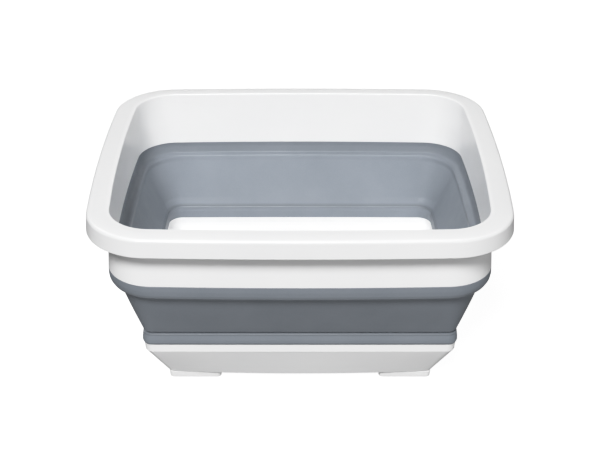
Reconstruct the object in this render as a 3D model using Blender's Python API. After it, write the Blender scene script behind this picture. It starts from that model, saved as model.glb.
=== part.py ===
"""Collapsible tub: a rigid rim frame and a rigid base tray, joined by a soft folding wall.

The tub stands on its feet at z = 0 with its centre on the Z axis, long side along X. Every wall is
a sweep of one cross-section round the same rounded outline. A cross-section is a list of points
(inset, z) in millimetres: inset is how far the point lies inside the rim's top outer edge.

The soft wall is one moulding on the real tub. Its fold panel turns inside out when the tub is
pressed flat, so here it is cut into nested rings, each a little smaller than the one above it.
The cuts are vertical, so the rings slide past each other as the rim frame comes down.
"""

import math

import bmesh
import bpy

MM = 0.001

# Driving dimensions, in millimetres
RIM_WIDTH = 369.6
RIM_DEPTH = 318.0
HEIGHT = 180.0
GAP = 0.3  # between pieces that touch on the real tub

# How the outline changes on its way in: inset, corner radius, and how far the middle of a long
# and of a short side bows out
OUTLINES = (
    (0.0, 51.0, 4.7, 6.8),
    (23.0, 32.0, 3.6, 6.0),
    (38.3, 8.5, 0.2, 3.4),
    (42.0, 8.0, 0.4, 3.0),
    (58.6, 6.0, 4.6, 1.6),
)

# How much further in the short sides are at each height, inside the lip
NARROWING = (
    (6.0, 4.9),
    (43.0, 3.4),
    (52.0, 3.8),
    (65.0, 4.6),
    (113.0, 0.8),
    (126.0, 0.8),
    (150.0, 2.1),
    (180.0, 2.1),
)
LIP_WIDTH = 14.0  # over which the narrowing sets in

# Rim frame
LIP_FLARE = 1.3
LIP_BOTTOM_Z = 162.0
LIP_TOP_THICKNESS = 2.9
SKIRT_THICKNESS = 2.2
WALL_OUTER = 14.2
WALL_INNER = 17.6
WALL_BOTTOM_Z = 126.2

# Soft wall
UPPER_HINGE = (21.8, 111.9)
LOWER_HINGE = (38.3, 65.1)
PANEL_BULGE = 0.8
PANEL_THICKNESS = 2.8  # measured level
PANEL_LIFT = 1.0
LEDGE_TOP_Z = 115.0
LEDGE_SLOPE = 0.35
FIRST_CUT = UPPER_HINGE[0]
LAST_CUT = 37.5
RING_COUNT = 5

# Base tray
BASE_RIM_OUTER = 39.3
BASE_RIM_INNER = 43.3
BASE_TOP_Z = 51.0
BASE_SHOULDER_Z = 42.6
BASE_BOTTOM_INSET = 58.4
FLOOR_UNDER_Z = 6.0
FLOOR_TOP_Z = 8.6

# Tongues on the rigid pieces, which the soft wall is moulded round
TONGUE_THICKNESS = 1.0
TONGUE_LENGTH = 5.7
UPPER_TONGUE = 15.4
LOWER_TONGUE = 40.8

# Feet
FOOT_LENGTH = 46.0
FOOT_WIDTH = 30.0
FOOT_CORNER_R = 4.0
FOOT_DRAFT = 0.4
FOOT_CHAMFER = 0.6
FOOT_SETBACK = 0.2  # behind the edge of the tray's underside
PEG_R = 2.6
PEG_HEIGHT = 1.2
PEG_SPACING = 26.0
SOCKET_DEPTH = 1.5
PEG_SEGMENTS = 16

# Segments in each quarter of the outline
CORNER_SEGMENTS = 8
LONG_SEGMENTS = 2
SHORT_SEGMENTS = 2


def clear_scene():
    for obj in list(bpy.data.objects):
        bpy.data.objects.remove(obj)


def make_material(name, colour, roughness):
    material = bpy.data.materials.new(name)
    material.use_nodes = True
    shader = material.node_tree.nodes["Principled BSDF"]
    shader.inputs["Base Color"].default_value = (*colour, 1.0)
    shader.inputs["Roughness"].default_value = roughness
    shader.inputs["Metallic"].default_value = 0.0
    return material


def between(table, place):
    """The values of this table at a place between two of its rows, or past its ends."""
    after = 1
    while after < len(table) - 1 and table[after][0] < place:
        after += 1
    first, second = table[after - 1], table[after]
    share = (place - first[0]) / (second[0] - first[0])
    return [a + (b - a) * share for a, b in zip(first[1:], second[1:])]


def outline_shape(inset, z):
    """Half width, half depth, corner radius and bows of the outline at this inset and height."""
    corner_r, long_bow, short_bow = between(OUTLINES, inset)
    narrowing = between(NARROWING, z)[0] * min(max(inset / LIP_WIDTH, 0), 1)
    half_width = RIM_WIDTH / 2 - inset - narrowing
    return half_width, RIM_DEPTH / 2 - inset, corner_r, long_bow, short_bow


def side_radius(half_length, bow):
    return (half_length**2 + bow**2) / (2 * bow)


def corner_centre(below, beside, to_long, to_short):
    """Centre of the corner arc, at to_long from (0, -below) and at to_short from (-beside, 0)."""
    rise = (to_long**2 - to_short**2 - below**2 + beside**2) / (2 * below)
    slope = beside / below
    a = 1 + slope**2
    b = 2 * beside + 2 * rise * slope
    c = beside**2 + rise**2 - to_short**2
    x = (-b + math.sqrt(b * b - 4 * a * c)) / (2 * a)
    return x, rise + slope * x


def arc(centre, radius, start, end, segments):
    """Points on an arc, without its last one."""
    turn = (end - start) / segments
    return [
        (
            centre[0] + radius * math.cos(start + turn * i),
            centre[1] + radius * math.sin(start + turn * i),
        )
        for i in range(segments)
    ]


def quarter(inset, z):
    """The outline from the middle of its right side to just before the middle of its back.

    Each side is an arc of large radius, and the corner arc is tangent to both.
    """
    half_width, half_depth, corner_r, long_bow, short_bow = outline_shape(inset, z)
    long_r = side_radius(half_width, long_bow)
    short_r = side_radius(half_depth, short_bow)
    below = long_r - half_depth
    beside = short_r - half_width
    cx, cy = corner_centre(below, beside, long_r - corner_r, short_r - corner_r)
    leave_short = math.atan2(cy, cx + beside)
    meet_long = math.atan2(cy + below, cx)
    points = arc((-beside, 0), short_r, 0, leave_short, SHORT_SEGMENTS)
    points += arc((cx, cy), corner_r, leave_short, meet_long, CORNER_SEGMENTS)
    points += arc((0, -below), long_r, meet_long, math.pi / 2, LONG_SEGMENTS)
    return points


def outline(inset, z):
    """The whole outline here, anticlockwise from the middle of the right side."""
    right_back = quarter(inset, z)
    back = (0.0, RIM_DEPTH / 2 - inset)
    back_left = [back] + [(-x, y) for x, y in reversed(right_back[1:])]
    half = right_back + back_left
    return half + [(-x, -y) for x, y in half]


def add_ring(mesh, inset, z):
    return [mesh.verts.new((x * MM, y * MM, z * MM)) for x, y in outline(inset, z)]


def bridge(mesh, first, second):
    count = len(first)
    for i in range(count):
        j = (i + 1) % count
        mesh.faces.new((first[i], first[j], second[j], second[i]))


def to_object(mesh, name, material):
    bmesh.ops.recalc_face_normals(mesh, faces=mesh.faces)
    data = bpy.data.meshes.new(name)
    mesh.to_mesh(data)
    mesh.free()
    data.materials.append(material)
    data.shade_smooth()
    data.set_sharp_from_angle(angle=math.radians(30))
    obj = bpy.data.objects.new(name, data)
    bpy.context.scene.collection.objects.link(obj)
    return obj


def sweep(name, section, material):
    """A closed cross-section swept round the outline: a band that is open in the middle."""
    mesh = bmesh.new()
    rings = [add_ring(mesh, inset, z) for inset, z in section]
    for first, second in zip(rings, rings[1:] + rings[:1]):
        bridge(mesh, first, second)
    return to_object(mesh, name, material)


def sweep_tray(name, section, material):
    """A cross-section from the floor's top to its underside, closed by a flat face at each end."""
    mesh = bmesh.new()
    rings = [add_ring(mesh, inset, z) for inset, z in section]
    for first, second in zip(rings, rings[1:]):
        bridge(mesh, first, second)
    mesh.faces.new(rings[0])
    mesh.faces.new(rings[-1])
    return to_object(mesh, name, material)


def panel_outside(inset):
    """Height of the fold panel's outer face at this inset. The face bulges out a little."""
    run = LOWER_HINGE[0] - UPPER_HINGE[0]
    drop = UPPER_HINGE[1] - LOWER_HINGE[1]
    bend = 4 * PANEL_BULGE
    straight = run - bend
    share = (math.sqrt(straight**2 + 4 * bend * (inset - UPPER_HINGE[0])) - straight) / (2 * bend)
    return UPPER_HINGE[1] - drop * share


def panel_inside(inset):
    """Height of the fold panel's inner face, cut off by a ledge where it meets the upper band."""
    outer_inset = inset - PANEL_THICKNESS
    ledge_z = LEDGE_TOP_Z - (inset - UPPER_HINGE[0]) * LEDGE_SLOPE
    if outer_inset < UPPER_HINGE[0]:
        return ledge_z
    return min(panel_outside(outer_inset) + PANEL_LIFT, ledge_z)


def rim_frame(material):
    """Turned-down lip, its skirt and the upper wall, with the tongue that the soft wall grips."""
    under_lip_z = HEIGHT - LIP_TOP_THICKNESS
    tongue_end_z = WALL_BOTTOM_Z - TONGUE_LENGTH
    tongue_inner = UPPER_TONGUE + TONGUE_THICKNESS
    section = [
        (-LIP_FLARE, LIP_BOTTOM_Z),
        (-0.15, 176.8),
        (0.6, 178.4),
        (2.4, 179.1),
        (6.2, 179.7),
        (11.0, HEIGHT),
        (15.6, HEIGHT),
        (17.0, 179.4),
        (17.4, 177.8),
        (WALL_INNER, WALL_BOTTOM_Z),
        (tongue_inner, WALL_BOTTOM_Z),
        (tongue_inner, tongue_end_z),
        (UPPER_TONGUE, tongue_end_z),
        (UPPER_TONGUE, WALL_BOTTOM_Z),
        (WALL_OUTER, WALL_BOTTOM_Z),
        (14.5, 174.6),
        (13.2, under_lip_z),
        (3.6, 176.6),
        (2.2, 175.0),
        (SKIRT_THICKNESS - LIP_FLARE, LIP_BOTTOM_Z),
    ]
    return sweep("rim_frame", section, material)


def upper_band(material):
    """Thick top of the soft wall: it grips the rim frame's tongue and ends in the upper hinge."""
    top_z = WALL_BOTTOM_Z - GAP
    groove_end_z = WALL_BOTTOM_Z - TONGUE_LENGTH - GAP
    groove_inner = UPPER_TONGUE + TONGUE_THICKNESS + GAP
    groove_outer = UPPER_TONGUE - GAP
    hinge_inset = FIRST_CUT - GAP
    section = [
        (WALL_OUTER, top_z),
        (14.0, 120.3),
        (14.4, 116.2),
        (15.4, 113.2),
        (17.2, 111.8),
        (hinge_inset, 111.5),
        (hinge_inset, LEDGE_TOP_Z),
        (20.2, 115.7),
        (19.4, 116.7),
        (17.9, 122.5),
        (WALL_INNER, top_z),
        (groove_inner, top_z),
        (groove_inner, groove_end_z),
        (groove_outer, groove_end_z),
        (groove_outer, top_z),
    ]
    return sweep("upper_band", section, material)


def fold_rings(material):
    """The fold panel, cut into nested rings with level gaps between them."""
    pitch = (LAST_CUT - FIRST_CUT) / RING_COUNT
    for number in range(RING_COUNT):
        outer = FIRST_CUT + pitch * number
        inner = outer + pitch - GAP
        section = [
            (outer, panel_outside(outer)),
            (inner, panel_outside(inner)),
            (inner, panel_inside(inner)),
            (outer, panel_inside(outer)),
        ]
        sweep(f"fold_ring_{number + 1}", section, material)


def lower_band(material):
    """Thick foot of the soft wall, from the lower hinge to the base tray's tongue."""
    bottom_z = BASE_TOP_Z + GAP
    groove_end_z = BASE_TOP_Z + TONGUE_LENGTH + GAP
    groove_outer = LOWER_TONGUE - GAP
    groove_inner = LOWER_TONGUE + TONGUE_THICKNESS + GAP
    section = [
        (LAST_CUT, panel_outside(LAST_CUT)),
        LOWER_HINGE,
        (39.8, 64.7),
        (39.8, 64.0),
        (38.3, 63.5),
        (37.9, 60.8),
        (37.7, 56.0),
        (38.0, 52.6),
        (38.8, bottom_z),
        (groove_outer, bottom_z),
        (groove_outer, groove_end_z),
        (groove_inner, groove_end_z),
        (groove_inner, bottom_z),
        (BASE_RIM_INNER, bottom_z),
        (43.2, 58.6),
        (42.4, 63.0),
        (41.3, 65.6),
        (39.6, panel_inside(39.6)),
        (LAST_CUT, panel_inside(LAST_CUT)),
    ]
    return sweep("lower_band", section, material)


def base_tray(material):
    """Shallow tray with sloping sides, a tongue along its top and the floor of the tub."""
    tongue_end_z = BASE_TOP_Z + TONGUE_LENGTH
    tongue_inner = LOWER_TONGUE + TONGUE_THICKNESS
    section = [
        (62.0, FLOOR_TOP_Z),
        (60.0, 9.4),
        (44.3, 42.4),
        (43.5, 45.0),
        (BASE_RIM_INNER, BASE_TOP_Z),
        (tongue_inner, BASE_TOP_Z),
        (tongue_inner, tongue_end_z),
        (LOWER_TONGUE, tongue_end_z),
        (LOWER_TONGUE, BASE_TOP_Z),
        (BASE_RIM_OUTER, BASE_TOP_Z),
        (40.3, BASE_SHOULDER_Z),
        (41.2, 40.9),
        (57.8, 6.7),
        (BASE_BOTTOM_INSET, FLOOR_UNDER_Z),
    ]
    return sweep_tray("base_tray", section, material)


def foot_place():
    """Centre of the right back foot, whose corner sits in the corner of the tray's underside."""
    edge = quarter(BASE_BOTTOM_INSET, FLOOR_UNDER_Z)
    corner = edge[SHORT_SEGMENTS : SHORT_SEGMENTS + CORNER_SEGMENTS]
    edge_x = corner[0][0] - FOOT_SETBACK
    edge_y = corner[-1][1] - FOOT_SETBACK
    return edge_x - FOOT_LENGTH / 2, edge_y - FOOT_WIDTH / 2


def pad_ring(mesh, shrink, z):
    """A level ring of points round the foot pad, this much smaller on every side."""
    half_x = FOOT_LENGTH / 2 - shrink
    half_y = FOOT_WIDTH / 2 - shrink
    radius = FOOT_CORNER_R
    corners = ((1, 1, 0), (-1, 1, 1), (-1, -1, 2), (1, -1, 3))
    ring = []
    for side_x, side_y, quarter_turns in corners:
        start = quarter_turns * math.pi / 2
        centre = (side_x * (half_x - radius), side_y * (half_y - radius))
        for step in range(5):
            angle = start + step * math.pi / 8
            x = centre[0] + radius * math.cos(angle)
            y = centre[1] + radius * math.sin(angle)
            ring.append(mesh.verts.new((x * MM, y * MM, z * MM)))
    return ring


def cylinder(name, radius, low_z, high_z, x):
    """An upright cylinder at this x, used as a peg or as the cutter for its socket."""
    mesh = bmesh.new()
    bmesh.ops.create_cone(
        mesh,
        cap_ends=True,
        segments=PEG_SEGMENTS,
        radius1=radius * MM,
        radius2=radius * MM,
        depth=(high_z - low_z) * MM,
    )
    data = bpy.data.meshes.new(name)
    mesh.to_mesh(data)
    mesh.free()
    obj = bpy.data.objects.new(name, data)
    obj.location = (x * MM, 0, (low_z + high_z) / 2 * MM)
    obj.hide_render = True
    obj.display_type = "WIRE"
    bpy.context.scene.collection.objects.link(obj)
    return obj


def add_boolean(obj, other, operation):
    modifier = obj.modifiers.new(other.name, "BOOLEAN")
    modifier.operation = operation
    modifier.object = other


def feet(tray, material):
    """Four soft pads with pegs, pressed into blind sockets in the underside of the tray."""
    place_x, place_y = foot_place()
    top_z = FLOOR_UNDER_Z - GAP
    for side_x, side_name in ((-1, "left"), (1, "right")):
        for side_y, end_name in ((-1, "front"), (1, "back")):
            mesh = bmesh.new()
            rings = [
                pad_ring(mesh, FOOT_DRAFT + FOOT_CHAMFER, 0),
                pad_ring(mesh, FOOT_DRAFT, FOOT_CHAMFER),
                pad_ring(mesh, 0, top_z),
            ]
            bridge(mesh, rings[0], rings[1])
            bridge(mesh, rings[1], rings[2])
            mesh.faces.new(rings[0])
            mesh.faces.new(rings[-1])
            name = f"foot_{end_name}_{side_name}"
            foot = to_object(mesh, name, material)
            foot.location = (side_x * place_x * MM, side_y * place_y * MM, 0)
            for peg_side in (-1, 1):
                peg_x = peg_side * PEG_SPACING / 2
                label = f"{name}_{'a' if peg_side < 0 else 'b'}"
                peg = cylinder(f"peg_{label}", PEG_R, top_z - 1, top_z + PEG_HEIGHT, peg_x)
                peg.parent = foot
                add_boolean(foot, peg, "UNION")
                socket_top_z = FLOOR_UNDER_Z + SOCKET_DEPTH
                socket = cylinder(f"socket_{label}", PEG_R + GAP, 0, socket_top_z, peg_x)
                socket.parent = foot
                add_boolean(tray, socket, "DIFFERENCE")


def build():
    clear_scene()
    white = make_material("rigid_white", (0.83, 0.83, 0.83), 0.35)
    grey = make_material("soft_grey", (0.19, 0.21, 0.24), 0.55)
    pale = make_material("foot_white", (0.78, 0.78, 0.78), 0.6)
    rim_frame(white)
    upper_band(grey)
    fold_rings(grey)
    lower_band(grey)
    tray = base_tray(white)
    feet(tray, pale)


build()
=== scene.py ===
import math

import bmesh
import bpy
from mathutils import Euler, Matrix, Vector


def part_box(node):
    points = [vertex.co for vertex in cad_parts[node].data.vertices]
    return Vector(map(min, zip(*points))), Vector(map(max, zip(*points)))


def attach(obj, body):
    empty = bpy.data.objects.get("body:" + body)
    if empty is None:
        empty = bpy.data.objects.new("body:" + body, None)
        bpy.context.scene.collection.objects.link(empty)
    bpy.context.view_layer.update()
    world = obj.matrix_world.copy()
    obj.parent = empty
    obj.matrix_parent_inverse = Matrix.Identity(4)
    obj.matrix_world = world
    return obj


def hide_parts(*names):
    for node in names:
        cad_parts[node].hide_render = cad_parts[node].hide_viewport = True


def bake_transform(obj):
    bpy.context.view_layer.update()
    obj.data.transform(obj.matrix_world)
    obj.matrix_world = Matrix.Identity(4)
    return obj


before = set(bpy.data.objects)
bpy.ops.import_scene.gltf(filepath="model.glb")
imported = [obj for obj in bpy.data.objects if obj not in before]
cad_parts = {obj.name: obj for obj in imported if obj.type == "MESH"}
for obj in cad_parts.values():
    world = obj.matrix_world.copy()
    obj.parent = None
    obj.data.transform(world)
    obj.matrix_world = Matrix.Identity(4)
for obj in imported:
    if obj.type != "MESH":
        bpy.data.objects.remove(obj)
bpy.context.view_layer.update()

# Collapsible tub: a rigid rim and a rigid base tray, joined by one soft folding wall. Every wall is
# a cross-section swept round the tub's rounded outline. Sections are lists of (inset, z, radius) in
# millimetres: inset is the distance inside the rim's top outer edge, radius rounds the corner off.

MM = 0.001


def box_mm(node):
    """The lowest and highest corners of a CAD node's box, in millimetres."""
    low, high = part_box(node)
    return low / MM, high / MM


rim_low, rim_high = box_mm("rim_frame")
tray_low, tray_high = box_mm("base_tray")

LIP_FLARE = 1.3  # how far the bottom of the lip's skirt stands out past the top outer edge
HALF_WIDTH = rim_high.x - LIP_FLARE
HALF_DEPTH = rim_high.y - LIP_FLARE
HEIGHT = rim_high.z
TONGUE_LENGTH = 5.7  # the rim and the tray end in tongues that sit in grooves in the soft wall
TONGUE_THICKNESS = 1.0
GROOVE_CLEARANCE = 0.3
WALL_BOTTOM_Z = rim_low.z + TONGUE_LENGTH  # where the rim's own wall ends, above its tongue
BASE_TOP_Z = tray_high.z - TONGUE_LENGTH
FLOOR_THICKNESS = 2.6
FLOOR_UNDER_Z = tray_low.z
FLOOR_TOP_Z = FLOOR_UNDER_Z + FLOOR_THICKNESS
OUTER_SEAM_DROP = 0.9  # how much lower the seam under the rim is outside than inside
SEAM = 0.06  # what is left between a rigid piece and the soft wall moulded on to it
SEAM_STEP = 0.05  # how far the soft wall stands proud of the rim's wall on either side

# How the outline changes on its way in: inset, corner radius, and how far the middle of a long
# and of a short side bows out
OUTLINES = (
    (0.0, 56.0, 4.7, 6.8),
    (23.0, 32.0, 3.6, 6.0),
    (38.3, 8.5, 0.2, 3.4),
    (42.0, 8.0, 0.4, 3.0),
    (58.6, 6.0, 4.6, 1.6),
)

# How much further in the short sides are at each height, inside the lip
NARROWING = (
    (6.0, 4.9),
    (43.0, 3.4),
    (52.0, 3.8),
    (65.0, 4.6),
    (108.0, 1.2),
    (112.4, 2.4),
    (117.5, 0.9),
    (126.0, 0.8),
    (150.0, 2.1),
    (180.0, 2.1),
)
NARROWING_RUN = 14.0  # the inset over which the narrowing sets in

# How much larger the corner radius is on the inner faces, at each height
INNER_ROUNDING = (
    (8.0, 2.0),
    (45.0, 5.0),
    (62.0, 7.0),
    (68.0, 10.0),
    (90.0, 8.0),
    (112.0, 2.0),
    (120.0, 0.0),
    (180.0, 0.0),
)

# Segments in each quarter of the outline
CORNER_SEGMENTS = 18
LONG_SEGMENTS = 14
SHORT_SEGMENTS = 12

# Steps along a cross-section
ARC_STEP = math.radians(13)
LARGEST_CUT = 0.48  # the most that rounding one corner may take off a straight run, as a share
EDGE_HOLD = 0.35  # distance of the first point from a rounded edge, which keeps flats flat
LONGEST_STEP = 3.0
SHARP_ANGLE = math.radians(50)


# ---------------------------------------------------------------- outline


def between(table, place):
    """The values of this table at a place between two of its rows, or past its ends."""
    after = 1
    while after < len(table) - 1 and table[after][0] < place:
        after += 1
    first, second = table[after - 1], table[after]
    share = (place - first[0]) / (second[0] - first[0])
    return [a + (b - a) * share for a, b in zip(first[1:], second[1:])]


def value_at(table, place):
    """The same for a table with one value in each row."""
    return between(table, place)[0]


def clamped(share):
    return min(max(share, 0), 1)


def outline_shape(inset, z, inner):
    """Half width, half depth, corner radius and bows of the outline at this inset and height."""
    corner_r, long_bow, short_bow = between(OUTLINES, inset)
    corner_r += inner * value_at(INNER_ROUNDING, z)
    narrowing = value_at(NARROWING, z) * clamped(inset / NARROWING_RUN)
    return HALF_WIDTH - inset - narrowing, HALF_DEPTH - inset, corner_r, long_bow, short_bow


def side_radius(half_length, bow):
    """Radius of an arc this long that bows out by this much in its middle."""
    return (half_length**2 + bow**2) / (2 * bow)


def corner_centre(below, beside, to_long, to_short):
    """Centre of the corner arc, at to_long from (0, -below) and at to_short from (-beside, 0)."""
    rise = (to_long**2 - to_short**2 - below**2 + beside**2) / (2 * below)
    slope = beside / below
    a = 1 + slope**2
    b = 2 * beside + 2 * rise * slope
    c = beside**2 + rise**2 - to_short**2
    x = (-b + math.sqrt(b * b - 4 * a * c)) / (2 * a)
    return x, rise + slope * x


def arc(centre, radius, start, end, segments):
    """Points on an arc, without its last one."""
    turn = (end - start) / segments
    return [
        (
            centre[0] + radius * math.cos(start + turn * i),
            centre[1] + radius * math.sin(start + turn * i),
        )
        for i in range(segments)
    ]


def outline(inset, z, inner):
    """The whole outline here, anticlockwise from the middle of the right side.

    The share inner is 0 on the outside of a wall and 1 on its inside.
    """
    half_width, half_depth, corner_r, long_bow, short_bow = outline_shape(inset, z, inner)
    long_r = side_radius(half_width, long_bow)
    short_r = side_radius(half_depth, short_bow)
    below = long_r - half_depth
    beside = short_r - half_width
    cx, cy = corner_centre(below, beside, long_r - corner_r, short_r - corner_r)
    leave_short = math.atan2(cy, cx + beside)
    meet_long = math.atan2(cy + below, cx)
    quarter = arc((-beside, 0), short_r, 0, leave_short, SHORT_SEGMENTS)
    quarter += arc((cx, cy), corner_r, leave_short, meet_long, CORNER_SEGMENTS)
    quarter += arc((0, -below), long_r, meet_long, math.pi / 2, LONG_SEGMENTS)
    half = quarter + [(0.0, half_depth)] + [(-x, y) for x, y in reversed(quarter[1:])]
    return half + [(-x, -y) for x, y in half]


# ---------------------------------------------------------------- cross-sections


def inner_face(corners):
    """Marks these corners as lying on the inside of the wall."""
    return [(*corner, 1) for corner in corners]


def rounded(corners, closed=True):
    """Points (inset, z, inner) along a cross-section, with each corner rounded to its radius."""
    count = len(corners)
    points = []
    for i, corner in enumerate(corners):
        inset, z, radius, inner = (*corner, 0)[:4]
        here = Vector((inset, z))
        if radius == 0 or (not closed and i in (0, count - 1)):
            points.append(Vector((inset, z, inner)))
            continue
        back = Vector(corners[i - 1][:2]) - here
        ahead = Vector(corners[(i + 1) % count][:2]) - here
        turn = math.pi - back.angle(ahead)
        reach = math.tan(turn / 2)
        cut = min(radius * reach, LARGEST_CUT * back.length, LARGEST_CUT * ahead.length)
        bend = (back.normalized() + ahead.normalized()).normalized()
        centre = here + bend * (cut / reach / math.cos(turn / 2))
        start = here + back.normalized() * cut - centre
        end = here + ahead.normalized() * cut - centre
        first = math.atan2(start.y, start.x)
        swing = (math.atan2(end.y, end.x) - first + math.pi) % (2 * math.pi) - math.pi
        steps = max(1, math.ceil(turn / ARC_STEP))
        for step in range(steps + 1):
            angle = first + swing * step / steps
            point = centre + Vector((math.cos(angle), math.sin(angle))) * start.length
            points.append(Vector((point.x, point.y, inner)))
    return points


def dense(points, closed=True):
    """The same line with extra points on its long straight runs."""
    made = []
    pairs = zip(points, points[1:] + points[:1]) if closed else zip(points, points[1:])
    for here, there in pairs:
        made.append(here)
        length = (there - here).xy.length
        if length <= 3 * EDGE_HOLD:
            continue
        run = length - 2 * EDGE_HOLD
        steps = max(1, math.ceil(run / LONGEST_STEP))
        for step in range(steps + 1):
            made.append(here.lerp(there, (EDGE_HOLD + run * step / steps) / length))
    if not closed:
        made.append(points[-1])
    return made


# ---------------------------------------------------------------- meshes


def add_ring(mesh, point):
    """Vertices along the outline at this point of a cross-section."""
    inset, z, inner = point
    return [mesh.verts.new((x * MM, y * MM, z * MM)) for x, y in outline(inset, z, inner)]


def bridge(mesh, first, second):
    """Faces between two closed rings with the same number of vertices."""
    count = len(first)
    for i in range(count):
        j = (i + 1) % count
        mesh.faces.new((first[i], first[j], second[j], second[i]))


def shrink(mesh, ring, shares):
    """Rings of these shares of the first one's size, each inside the last. Returns the smallest."""
    last = ring
    for share in shares:
        smaller = [mesh.verts.new((v.co.x * share, v.co.y * share, v.co.z)) for v in ring]
        bridge(mesh, last, smaller)
        last = smaller
    return last


def fan(mesh, ring, centre):
    """Faces from a closed ring to one vertex in its middle."""
    point = mesh.verts.new(centre)
    for i in range(len(ring)):
        mesh.faces.new((ring[i], ring[(i + 1) % len(ring)], point))


def finish_piece(mesh, name, material, painted_light=None):
    """Turns the mesh into a piece with its rest position and its painted light and shade for the
    material.
    """
    bmesh.ops.recalc_face_normals(mesh, faces=mesh.faces)
    data = bpy.data.meshes.new(name)
    mesh.to_mesh(data)
    mesh.free()
    data.materials.append(material)
    data.shade_smooth()
    data.set_sharp_from_angle(angle=SHARP_ANGLE)
    rest = data.attributes.new("rest", "FLOAT_VECTOR", "POINT")
    rest.data.foreach_set("vector", [c for v in data.vertices for c in v.co])
    # Painted light and shade for each vertex; 1 leaves the colour as it is
    shade = data.attributes.new("shade", "FLOAT", "POINT")
    shade.data.foreach_set("value", painted_light or [1.0] * len(data.vertices))
    piece = bpy.data.objects.new(name, data)
    bpy.context.scene.collection.objects.link(piece)
    return piece


def sweep(name, section, material, painted_light_at=None):
    """A closed cross-section swept round the outline.

    The painted light and shade at a vertex may depend on its point of the cross-section and its x.
    """
    mesh = bmesh.new()
    points = dense(rounded(section))
    rings = [add_ring(mesh, point) for point in points]
    for first, second in zip(rings, rings[1:] + rings[:1]):
        bridge(mesh, first, second)
    painted_light = None
    if painted_light_at:
        painted_light = [painted_light_at(point, v.co.x / MM) for point, ring in zip(points, rings) for v in ring]
    return finish_piece(mesh, name, material, painted_light)


# ---------------------------------------------------------------- materials

WHITE = (0.885, 0.885, 0.885)
WHITE_CLOUD = (0.855, 0.857, 0.862)
WHITE_RUB = (0.8, 0.8, 0.81)
GREY = (0.195, 0.22, 0.252)
GREY_BLOTCH = (0.217, 0.242, 0.276)
GREY_SPECK = (0.3, 0.32, 0.35)
PAD = (0.83, 0.83, 0.83)
PAD_DUST = (0.77, 0.77, 0.765)


class Nodes:
    """Shorthand for the nodes of one material."""

    # The colour sockets of a mix node
    MIX_FIRST = 6
    MIX_SECOND = 7
    MIX_RESULT = 2

    def __init__(self, name):
        self.material = bpy.data.materials.new(name)
        self.material.use_nodes = True
        self.tree = self.material.node_tree
        self.shader = self.tree.nodes["Principled BSDF"]
        self.rest = self.add("ShaderNodeAttribute", attribute_name="rest").outputs["Vector"]
        # The shade attribute holds each piece's painted light and shade
        self.shade = self.add("ShaderNodeAttribute", attribute_name="shade").outputs["Fac"]

    def add(self, kind, links=None, values=None, **settings):
        """A new node with these inputs linked, these inputs set and these settings."""
        node = self.tree.nodes.new(kind)
        for key, value in settings.items():
            setattr(node, key, value)
        for key, value in (values or {}).items():
            node.inputs[key].default_value = value
        for key, source in (links or {}).items():
            self.tree.links.new(source, node.inputs[key])
        return node

    def noise(self, scale, detail=2.0, roughness=0.5, stretch=None):
        """Noise fixed to the piece, with this many features in a metre."""
        place = self.rest
        if stretch:
            mapping = self.add("ShaderNodeMapping", {"Vector": place}, {"Scale": stretch})
            place = mapping.outputs["Vector"]
        values = {"Scale": scale, "Detail": detail, "Roughness": roughness}
        return self.add("ShaderNodeTexNoise", {"Vector": place}, values).outputs["Fac"]

    def spread(self, source, low, high, to_low=0.0, to_high=1.0):
        """The source between low and high, stretched to the new range."""
        values = {"From Min": low, "From Max": high, "To Min": to_low, "To Max": to_high}
        return self.add("ShaderNodeMapRange", {"Value": source}, values).outputs["Result"]

    def mix(self, factor, first, second):
        """From the first colour at 0 to the second at 1. Either may be plain or from a node."""
        node = self.add("ShaderNodeMix", {"Factor": factor}, data_type="RGBA")
        for socket, colour in ((self.MIX_FIRST, first), (self.MIX_SECOND, second)):
            if isinstance(colour, tuple):
                node.inputs[socket].default_value = (*colour, 1.0)
            else:
                self.tree.links.new(colour, node.inputs[socket])
        return node.outputs[self.MIX_RESULT]

    def times(self, value, number):
        settings = {"operation": "MULTIPLY"}
        return self.add("ShaderNodeMath", {0: value}, {1: number}, **settings).outputs["Value"]

    def sum(self, first, second):
        links = {0: first, 1: second}
        return self.add("ShaderNodeMath", links, operation="ADD").outputs["Value"]

    def bump(self, height, distance, strength, normal=None):
        """The surface's direction with this relief, on top of another if one is given."""
        links = {"Height": height}
        if normal:
            links["Normal"] = normal
        values = {"Distance": distance, "Strength": strength}
        return self.add("ShaderNodeBump", links, values).outputs["Normal"]

    def with_painted_light(self, colour):
        """The colour times the piece's painted light and shade."""
        links = {0: colour, 1: self.shade}
        return self.add("ShaderNodeVectorMath", links, operation="MULTIPLY").outputs["Vector"]

    def connect(self, source, socket):
        self.tree.links.new(source, self.shader.inputs[socket])

    def set_ior(self, ior):
        self.shader.inputs["IOR"].default_value = ior


def white_plastic():
    """Satin moulded polypropylene: faint clouding, a fine moulded grain and a few light rubs."""
    n = Nodes("rigid_white")
    cloud = n.spread(n.noise(14, 3, 0.55), 0.3, 0.7)
    colour = n.mix(cloud, WHITE_CLOUD, WHITE)
    rubs = n.spread(n.noise(260, 2, 0.5, (0.12, 1.0, 1.0)), 0.64, 0.8)
    colour = n.mix(n.times(rubs, 0.25), colour, WHITE_RUB)
    # The colour carries the rim's and the tray's painted light and shade
    n.connect(n.with_painted_light(colour), "Base Color")
    satin = n.spread(n.noise(45, 4, 0.6), 0.3, 0.7, to_low=0.28, to_high=0.37)
    n.connect(n.sum(satin, n.times(rubs, 0.12)), "Roughness")
    grain = n.noise(1500, 3, 0.6)
    ripple = n.noise(70, 2, 0.4)
    n.connect(n.bump(grain, 0.00004, 0.5, n.bump(ripple, 0.0004, 0.25)), "Normal")
    n.set_ior(1.49)
    return n.material


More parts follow.
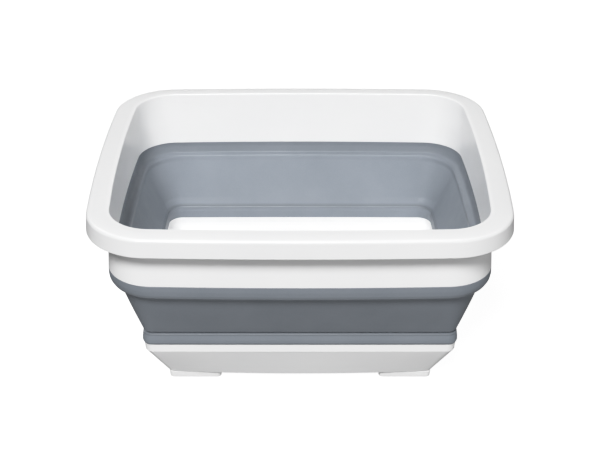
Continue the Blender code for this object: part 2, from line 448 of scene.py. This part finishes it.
def grey_rubber():
    """Soft satin rubber: a spark-eroded grain, soft blotches and fine pale specks."""
    n = Nodes("soft_grey")
    blotch = n.spread(n.noise(22, 3, 0.55), 0.3, 0.7)
    colour = n.mix(blotch, GREY, GREY_BLOTCH)
    speck = n.spread(n.noise(900, 2, 0.6), 0.35, 0.65)
    colour = n.mix(n.times(speck, 0.1), colour, GREY_SPECK)
    # The colour carries the soft wall's painted light and shade
    n.connect(n.with_painted_light(colour), "Base Color")
    satin = n.spread(n.noise(60, 4, 0.6), 0.3, 0.7, to_low=0.46, to_high=0.58)
    n.connect(satin, "Roughness")
    grain = n.noise(2200, 3, 0.65)
    ripple = n.noise(48, 2, 0.45)
    n.connect(n.bump(grain, 0.00006, 0.6, n.bump(ripple, 0.0008, 0.25)), "Normal")
    n.set_ior(1.5)
    return n.material


def foot_rubber():
    """Matt non-slip pad with a coarse grain and a little dust."""
    n = Nodes("foot_white")
    dust = n.spread(n.noise(120, 4, 0.6), 0.35, 0.7)
    n.connect(n.mix(dust, PAD, PAD_DUST), "Base Color")
    matt = n.spread(n.noise(200, 3, 0.6), 0.3, 0.7, to_low=0.55, to_high=0.7)
    n.connect(matt, "Roughness")
    n.connect(n.bump(n.noise(1800, 3, 0.6), 0.00008, 0.6), "Normal")
    n.set_ior(1.5)
    return n.material


# ---------------------------------------------------------------- rim

# Insets of the upper wall's two faces, and of the outer faces of the rim's and the tray's tongues
WALL_OUTER = 14.2
WALL_INNER = 17.6
UPPER_TONGUE = 15.4
LOWER_TONGUE = 40.8

SKIRT_LENGTH = 18.0
SKIRT_INSET = 0.9  # of the skirt's inner face at its bottom

# How light the rim is painted: painted light inside the wall, painted shade on the skirt and the
# lip
RIM_INSIDE_PAINTED_LIGHT = 1.025
SKIRT_PAINTED_SHADE = 0.91
LIP_PAINTED_SHADE = 0.972


def rim_painted_light(point, x):
    """Painted light inside the wall, painted shade down the outside of the skirt, and a little
    painted shade on the rest of the lip.
    """
    inset = point[0]
    if inset > UPPER_TONGUE:
        return RIM_INSIDE_PAINTED_LIGHT
    return SKIRT_PAINTED_SHADE if inset < SKIRT_INSET else LIP_PAINTED_SHADE


def rim(material):
    """Crowned, turned-down lip with its skirt, and the upper wall that holds the soft wall."""
    tongue_end_z = WALL_BOTTOM_Z - TONGUE_LENGTH
    tongue_inner = UPPER_TONGUE + TONGUE_THICKNESS
    skirt_z = HEIGHT - SKIRT_LENGTH
    seam_z = WALL_BOTTOM_Z - OUTER_SEAM_DROP
    section = [
        (-LIP_FLARE, skirt_z, 0.9),
        (-0.15, HEIGHT - 1.3, 3.2),
        (6.2, HEIGHT - 0.35, 25),
        (11.5, HEIGHT, 30),
        (17.25, HEIGHT, 1.2),
        (WALL_INNER, WALL_BOTTOM_Z, 0.4),
        (tongue_inner, WALL_BOTTOM_Z, 0),
        (tongue_inner, tongue_end_z, 0.2),
        (UPPER_TONGUE, tongue_end_z, 0.2),
        (UPPER_TONGUE, seam_z, 0),
        (WALL_OUTER, seam_z, 0.4),
        (14.5, HEIGHT - 3.4, 2.0),
        (3.4, HEIGHT - 4.0, 2.4),
        (2.2, HEIGHT - 6.0, 3.0),
        (SKIRT_INSET, skirt_z, 0.9),
    ]
    return sweep("rim_moulding", section, material, rim_painted_light)


# ---------------------------------------------------------------- soft wall

# The panel turns over between these two lines, at (inset, z) on its outer face
UPPER_HINGE = (21.8, 111.9)
LOWER_HINGE = (38.3, 65.1)
PANEL_BULGE = 0.8
PANEL_THICKNESS = 3.0
HINGE_THINNING = 0.9
PANEL_STEPS = 26

# Insets between which the panel's outer and inner faces run, in the order of the section
OUTER_FACE = (UPPER_HINGE[0] + 1.1, LOWER_HINGE[0] - 0.1)
INNER_FACE = (LOWER_HINGE[0] - 0.3, UPPER_HINGE[0] + 0.9)


def panel_outside(inset):
    """Height of the fold panel's outer face at this inset. The face bulges out a little."""
    run = LOWER_HINGE[0] - UPPER_HINGE[0]
    drop = UPPER_HINGE[1] - LOWER_HINGE[1]
    bend = 4 * PANEL_BULGE
    straight = run - bend
    share = (math.sqrt(straight**2 + 4 * bend * (inset - UPPER_HINGE[0])) - straight) / (2 * bend)
    return UPPER_HINGE[1] - drop * share


def panel(ends, thickness=0.0, thinning=0.0):
    """Points along the fold panel's outer face, or along its inner face at a level thickness.

    The thickness is less by the thinning at the upper hinge.
    """
    first, last = ends
    points = []
    for step in range(PANEL_STEPS + 1):
        inset = first + (last - first) * step / PANEL_STEPS
        z = panel_outside(inset)
        share = (z - LOWER_HINGE[1]) / (UPPER_HINGE[1] - LOWER_HINGE[1])
        points.append((inset + thickness - thinning * share, z, 0))
    return points


# How light each face of the wall is painted, by height. Outside, painted shade all over, deepest on
# the panel and round the groove and least where the panel meets the upper band, against the band's
# shadow there. Inside, painted light on the panel and the lower band, and painted shade on the step
# above the groove and on the upper band
OUTER_PAINTED_SHADE = (
    (0.0, 0.91),
    (60.6, 0.9),
    (61.8, 0.66),
    (64.0, 0.66),
    (66.0, 0.74),
    (103.0, 0.71),
    (109.0, 0.95),
    (111.0, 1.0),
    (112.5, 0.84),
    (130.0, 0.82),
)
INNER_PAINTED_LIGHT_AND_SHADE = (
    (0.0, 1.08),
    (62.0, 1.08),
    (63.0, 0.85),
    (65.3, 0.85),
    (67.0, 1.05),
    (80.0, 1.07),
    (106.0, 1.1),
    (112.6, 1.13),
    (114.0, 0.98),
    (118.0, 0.91),
    (130.0, 0.86),
)

# Painted shade on the inside at both ends of the tub, setting in from one distance along it to the
# other
ENDS_FROM = 108.0
ENDS_TO = 138.0
ENDS_PAINTED_SHADE = 0.12


def wall_painted_light(point, x):
    """How light the soft wall is painted, by height, side and nearness to the ends of the tub."""
    z, inner = point[1:]
    outside = value_at(OUTER_PAINTED_SHADE, z)
    inside = value_at(INNER_PAINTED_LIGHT_AND_SHADE, z)
    at_end = clamped((abs(x) - ENDS_FROM) / (ENDS_TO - ENDS_FROM))
    inside *= 1 - ENDS_PAINTED_SHADE * at_end
    return outside + (inside - outside) * inner


def groove(tongue):
    """Insets of the two sides of the groove that holds this tongue."""
    return tongue - GROOVE_CLEARANCE, tongue + TONGUE_THICKNESS + GROOVE_CLEARANCE


def soft_wall(material):
    """One moulding: upper band, fold panel and lower band, gripping both rigid pieces."""
    top_z = WALL_BOTTOM_Z - SEAM
    bottom_z = BASE_TOP_Z + SEAM
    upper_groove_z = WALL_BOTTOM_Z - TONGUE_LENGTH - GROOVE_CLEARANCE
    lower_groove_z = BASE_TOP_Z + TONGUE_LENGTH + GROOVE_CLEARANCE
    upper_outer, upper_inner = groove(UPPER_TONGUE)
    lower_outer, lower_inner = groove(LOWER_TONGUE)
    section = [
        (WALL_OUTER - SEAM_STEP, top_z - OUTER_SEAM_DROP, 0.5),
        (13.95, 120.2, 8),
        (14.35, 116.0, 4),
        (15.4, 112.9, 2.2),
        (17.4, 111.6, 1.6),
        (21.7, 111.6, 2.2),
    ]
    section += panel(OUTER_FACE)
    section += [
        (38.45, 64.85, 0.3),
        (40.6, 64.5, 0.2),
        (40.6, 63.5, 0.2),
        (38.2, 62.5, 1.0),
        (38.1, 60.4, 4),
        (37.65, 56.4, 5),
        (37.8, 53.2, 2.5),
        (38.9, bottom_z, 0.6),
        (lower_outer, bottom_z, 0),
        (lower_outer, lower_groove_z, 0.3),
        (lower_inner, lower_groove_z, 0.3),
        (lower_inner, bottom_z, 0),
    ]
    inside = [
        (43.35, bottom_z, 0.4),
        (43.3, 58.5, 3),
        (42.5, 62.9, 1.0),
        (41.75, 63.7, 0.4),
        (41.45, 64.9, 0.8),
    ]
    inside += panel(INNER_FACE, PANEL_THICKNESS, HINGE_THINNING)
    inside += [
        (23.5, 114.2, 2.5),
        (19.6, 115.8, 2.0),
        (17.9, 122.5, 4),
        (WALL_INNER + SEAM_STEP, top_z, 0.4),
    ]
    section += inner_face(inside)
    section += [
        (upper_inner, top_z, 0),
        (upper_inner, upper_groove_z, 0.3),
        (upper_outer, upper_groove_z, 0.3),
        (upper_outer, top_z - OUTER_SEAM_DROP, 0),
    ]
    return sweep("soft_wall", section, material, wall_painted_light)


# ---------------------------------------------------------------- base tray

# The shares of their size by which the rings on the floor and on the underside close in
FLOOR_SHARES = (0.97, 0.85, 0.65, 0.4, 0.15)
UNDERSIDE_SHARES = (0.97, 0.85, 0.65, 0.4, 0.2)

# The moulding dimple in the middle of the underside: radius, and height above the underside
DIMPLE = ((9.0, 0.0), (8.2, 0.02), (6.8, 0.4), (5.0, 0.5), (1.5, 0.5), (1.3, 0.2))

# Painted light over the whole tray
TRAY_PAINTED_LIGHT = 1.055


def base_tray(material):
    """Shallow tray with sloping sides, a rounded floor edge and a flat underside."""
    tongue_end_z = BASE_TOP_Z + TONGUE_LENGTH
    tongue_inner = LOWER_TONGUE + TONGUE_THICKNESS
    inside = [
        (64.1, FLOOR_TOP_Z, 0),
        (60.5, FLOOR_TOP_Z, 3.5),
        (44.3, 42.4, 5),
        (43.5, 45.2, 3),
        (43.3, BASE_TOP_Z, 0.4),
    ]
    section = inner_face(inside) + [
        (tongue_inner, BASE_TOP_Z, 0),
        (tongue_inner, tongue_end_z, 0.2),
        (LOWER_TONGUE, tongue_end_z, 0.2),
        (LOWER_TONGUE, BASE_TOP_Z, 0),
        (39.3, BASE_TOP_Z, 0.5),
        (40.25, 42.7, 0.8),
        (41.2, 40.9, 0.7),
        (58.0, FLOOR_UNDER_Z, 2.0),
        (60.1, FLOOR_UNDER_Z, 0),
    ]
    mesh = bmesh.new()
    rings = [add_ring(mesh, point) for point in dense(rounded(section, False), False)]
    for first, second in zip(rings, rings[1:]):
        bridge(mesh, first, second)
    fan(mesh, shrink(mesh, rings[0], FLOOR_SHARES), (0, 0, FLOOR_TOP_Z * MM))
    under = shrink(mesh, rings[-1], UNDERSIDE_SHARES)
    for radius, rise in DIMPLE:
        smaller = []
        for v in rings[-1]:
            flat = Vector((v.co.x, v.co.y)).normalized() * radius * MM
            smaller.append(mesh.verts.new((flat.x, flat.y, (FLOOR_UNDER_Z + rise) * MM)))
        bridge(mesh, under, smaller)
        under = smaller
    fan(mesh, under, (0, 0, (FLOOR_UNDER_Z + DIMPLE[-1][1]) * MM))
    return finish_piece(mesh, "base_moulding", material, [TRAY_PAINTED_LIGHT] * len(mesh.verts))


# ---------------------------------------------------------------- feet

FOOT_OUT = 1.6  # how much further out to the front or back than the CAD foot
FOOT_LONGER = 1.8  # how much longer it is, towards the middle of the tub
FOOT_CORNER_R = 4.0
FOOT_CORNER_STEPS = 8

# The pad's edge on its way up: how far in it is, and its height
FOOT_PROFILE = ((1.0, 0.0), (0.65, 0.05), (0.42, 0.22), (0.34, 0.5), (0.3, 1.0), (0.05, 5.2))


def foot(name, node, material):
    """A soft pad with rounded edges, in the place of the CAD foot."""
    low, high = box_mm(node)
    if low.y < 0:
        low.y -= FOOT_OUT
    else:
        high.y += FOOT_OUT
    if low.x < 0:
        high.x += FOOT_LONGER
    else:
        low.x -= FOOT_LONGER
    centre = (low + high) / 2
    half_x = (high.x - low.x) / 2
    half_y = (high.y - low.y) / 2
    top_z = FLOOR_UNDER_Z - SEAM
    mesh = bmesh.new()
    rings = []
    for inset, z in FOOT_PROFILE + ((0.0, top_z),):
        ring = []
        for quarter in range(4):
            side_x = 1 if quarter in (0, 3) else -1
            side_y = 1 if quarter in (0, 1) else -1
            for step in range(FOOT_CORNER_STEPS + 1):
                angle = (quarter + step / FOOT_CORNER_STEPS) * math.pi / 2
                reach = FOOT_CORNER_R - inset
                x = centre.x + side_x * (half_x - FOOT_CORNER_R) + reach * math.cos(angle)
                y = centre.y + side_y * (half_y - FOOT_CORNER_R) + reach * math.sin(angle)
                ring.append(mesh.verts.new((x * MM, y * MM, z * MM)))
        rings.append(ring)
    for first, second in zip(rings, rings[1:]):
        bridge(mesh, first, second)
    mesh.faces.new(rings[0])
    mesh.faces.new(rings[-1])
    return finish_piece(mesh, name, material)


# ---------------------------------------------------------------- the object

white = white_plastic()
grey = grey_rubber()
pale = foot_rubber()

rim_piece = rim(white)
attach(rim_piece, "rim")
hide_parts("rim_frame")

wall_piece = soft_wall(grey)
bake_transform(wall_piece)
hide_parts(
    "upper_band",
    "fold_ring_1",
    "fold_ring_2",
    "fold_ring_3",
    "fold_ring_4",
    "fold_ring_5",
    "lower_band",
)

tray_piece = base_tray(white)
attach(tray_piece, "base")
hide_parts("base_tray")

for corner in ("front_left", "front_right", "back_left", "back_right"):
    foot_piece = foot(f"foot_pad_{corner}", f"foot_{corner}", pale)
    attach(foot_piece, "base")
    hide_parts(f"foot_{corner}")

# ---------------------------------------------------------------- camera, light and floor

CAMERA_PLACE = (0.0, -1.0762, 0.7036)
CAMERA_PITCH = 0.513  # how far it looks down, in radians
CAMERA_LENS = 77.94
SENSOR_WIDTH = 36

camera_data = bpy.data.cameras.new("camera")
camera_data.lens = CAMERA_LENS
camera_data.sensor_width = SENSOR_WIDTH
camera_data.clip_start = 0.01
camera_data.clip_end = 100
camera = bpy.data.objects.new("camera", camera_data)
camera.location = CAMERA_PLACE
camera.rotation_euler = Euler((math.pi / 2 - CAMERA_PITCH, 0, 0))
bpy.context.scene.collection.objects.link(camera)
bpy.context.scene.camera = camera

LIGHT_DISTANCE = 5.0
LIGHT_TARGET = (0, 0, 0.1)


def softbox(name, azimuth, elevation, size, strength):
    """A round soft light that faces the tub. Azimuth 0 is in front, positive to the right."""
    data = bpy.data.lights.new(name, "AREA")
    data.shape = "DISK"
    data.size = size
    data.energy = strength * math.pi**2 * LIGHT_DISTANCE**2
    light = bpy.data.objects.new(name, data)
    a, e = math.radians(azimuth), math.radians(elevation)
    away = Vector((math.sin(a) * math.cos(e), -math.cos(a) * math.cos(e), math.sin(e)))
    light.location = Vector(LIGHT_TARGET) + away * LIGHT_DISTANCE
    light.rotation_euler = away.to_track_quat("Z", "Y").to_euler()
    bpy.context.scene.collection.objects.link(light)
    return light


softbox("key", azimuth=-13, elevation=47, size=1.4, strength=1.2)
softbox("low_front", azimuth=0, elevation=25, size=2.0, strength=0.11)
softbox("back_left", azimuth=-130, elevation=45, size=2.0, strength=0.2)
softbox("side", azimuth=85, elevation=25, size=2.0, strength=0.21)
low_back = softbox("low_back", azimuth=180, elevation=8, size=2.0, strength=0.25)
low_back.visible_glossy = False  # it would leave a glare on the far lip

# Even light from below, as off a pale floor, with dark flags at both sides and behind
LOWER_GLOW = 0.57
UPPER_GLOW = 0.04
HORIZON = 0.15  # the rise of the direction, up and down, over which one turns into the other
SIDE_SHADE = 0.9
BACK_SHADE = 0.7

world = bpy.data.worlds.new("studio")
bpy.context.scene.world = world
world.use_nodes = True
sky = world.node_tree


def mapped(source, values):
    """The source through a map range node with these values."""
    node = sky.nodes.new("ShaderNodeMapRange")
    for key, value in values.items():
        node.inputs[key].default_value = value
    sky.links.new(source, node.inputs["Value"])
    return node.outputs["Result"]


def multiplied(first, second):
    node = sky.nodes.new("ShaderNodeMath")
    node.operation = "MULTIPLY"
    sky.links.new(first, node.inputs[0])
    sky.links.new(second, node.inputs[1])
    return node.outputs["Value"]


def flag(amount, shade):
    """1 where the amount is 0, and darker by the shade where it is 1."""
    return mapped(amount, {"To Min": 1.0, "To Max": 1.0 - shade})


direction = sky.nodes.new("ShaderNodeSeparateXYZ")
coordinates = sky.nodes.new("ShaderNodeTexCoord")
sky.links.new(coordinates.outputs["Generated"], direction.inputs["Vector"])
to_side, to_back, rise = direction.outputs

levels = {"From Min": -HORIZON, "From Max": HORIZON, "To Min": LOWER_GLOW, "To Max": UPPER_GLOW}
sides = flag(multiplied(to_side, to_side), SIDE_SHADE)
behind = flag(to_back, BACK_SHADE)
glow = multiplied(mapped(rise, levels), multiplied(sides, behind))
background = sky.nodes["Background"]
background.inputs["Color"].default_value = (1, 1, 1, 1)
sky.links.new(glow, background.inputs["Strength"])

# A pale floor and, all round it, a pale backdrop. The light that a real floor throws back on to the
# tub comes from the world's lower half.
FLOOR_REACH = 8.0
BACKDROP_HEIGHT = 8.0
STAGE_SEGMENTS = 64
STAGE_GLOW = 1.15
STAGE_COLOUR = 0.35


def stage_piece(name, mesh):
    """A pale part of the set, which is seen but throws no light on to the tub."""
    data = bpy.data.meshes.new(name)
    mesh.to_mesh(data)
    mesh.free()
    material = bpy.data.materials.new(name)
    material.use_nodes = True
    shader = material.node_tree.nodes["Principled BSDF"]
    shader.inputs["Base Color"].default_value = (STAGE_COLOUR,) * 3 + (1,)
    shader.inputs["Roughness"].default_value = 1.0
    shader.inputs["Specular IOR Level"].default_value = 0.0
    shader.inputs["Emission Color"].default_value = (1, 1, 1, 1)
    shader.inputs["Emission Strength"].default_value = STAGE_GLOW
    data.materials.append(material)
    piece = bpy.data.objects.new(name, data)
    piece.visible_diffuse = False
    piece.visible_glossy = False
    bpy.context.scene.collection.objects.link(piece)
    return piece


floor_mesh = bmesh.new()
bmesh.ops.create_circle(floor_mesh, cap_ends=True, segments=STAGE_SEGMENTS, radius=FLOOR_REACH)
stage_piece("floor", floor_mesh)

backdrop_mesh = bmesh.new()
circle = arc((0, 0), FLOOR_REACH, 0, 2 * math.pi, STAGE_SEGMENTS)
bottom = [backdrop_mesh.verts.new((x, y, 0)) for x, y in circle]
top = [backdrop_mesh.verts.new((x, y, BACKDROP_HEIGHT)) for x, y in circle]
bridge(backdrop_mesh, bottom, top)
stage_piece("backdrop", backdrop_mesh).visible_shadow = False

# The highlights are rolled off: a curve of scene brightness, as a share of the white level, to
# shown brightness
WHITE_LEVEL = 2.0
ALL_CHANNELS = 3  # the curve that acts on red, green and blue together
TONE_CURVE = ((0.15, 0.3), (0.3, 0.6), (0.36, 0.7), (0.44, 0.8), (0.54, 0.9), (0.66, 1.0))

view = bpy.context.scene.view_settings
view.view_transform = "Standard"
view.look = "None"
view.use_curve_mapping = True
view.curve_mapping.white_level = (WHITE_LEVEL,) * 3
for place, level in TONE_CURVE:
    view.curve_mapping.curves[ALL_CHANNELS].points.new(place, level)
view.curve_mapping.update()
